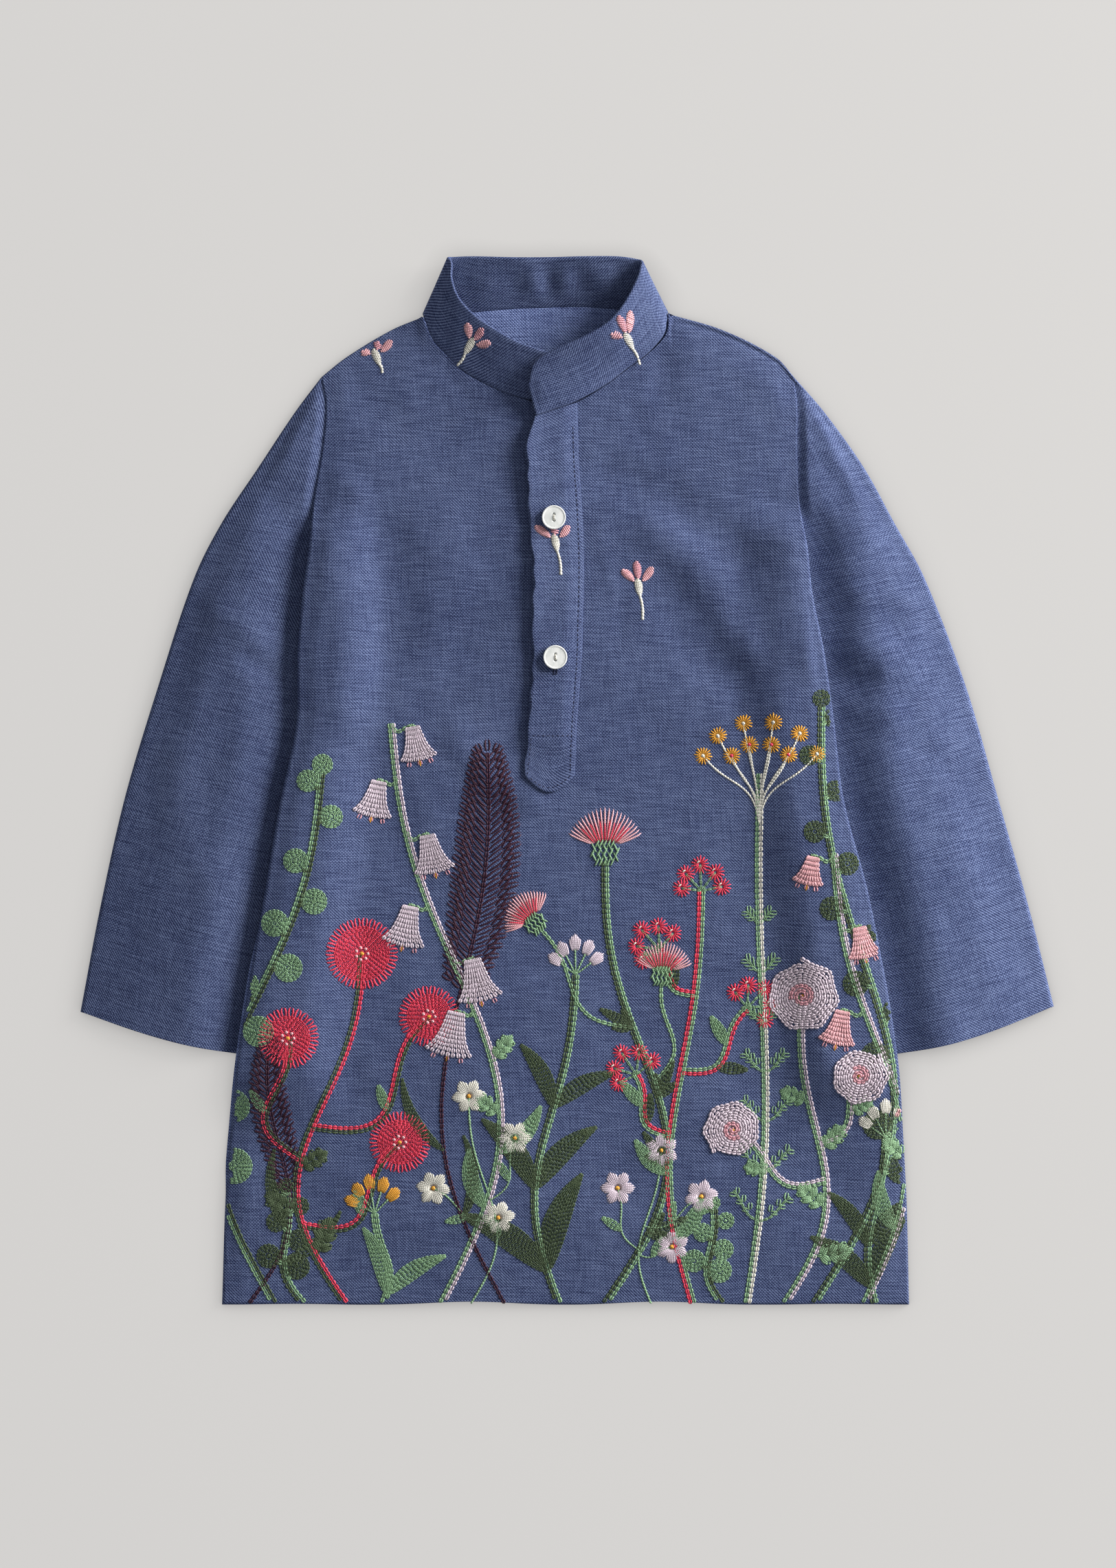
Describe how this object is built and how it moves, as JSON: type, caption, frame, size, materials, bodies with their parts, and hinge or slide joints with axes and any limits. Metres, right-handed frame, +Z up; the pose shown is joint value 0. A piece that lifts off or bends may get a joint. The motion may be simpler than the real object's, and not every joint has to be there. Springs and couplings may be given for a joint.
{
  "type": "child's kurta laid flat",
  "caption": "Toddler's long-sleeved kurta lying flat: A-line body, open-ended sleeves, crossed stand collar and buttoned half placket.",
  "frame": {"origin": "centre of the garment's bounding rectangle on the surface that it lies on", "axes": "+X to the wearer's left (the right of the view from above), +Y from the hem up to the collar, +Z up from the surface"},
  "size_m": [0.4653, 0.4999, 0.0189],
  "materials": {
    "cloth": "slubby blue plain-weave linen and cotton, matt, embroidered",
    "button": "off-white shell-like button, satin"
  },
  "bodies": {
    "root": {"front": "cloth", "back": "cloth", "sleeve_l": "cloth", "sleeve_r": "cloth", "collar": "cloth", "placket_top": "cloth", "placket_under": "cloth", "button_1": "button", "button_2": "button"}
  },
  "joints": []
}
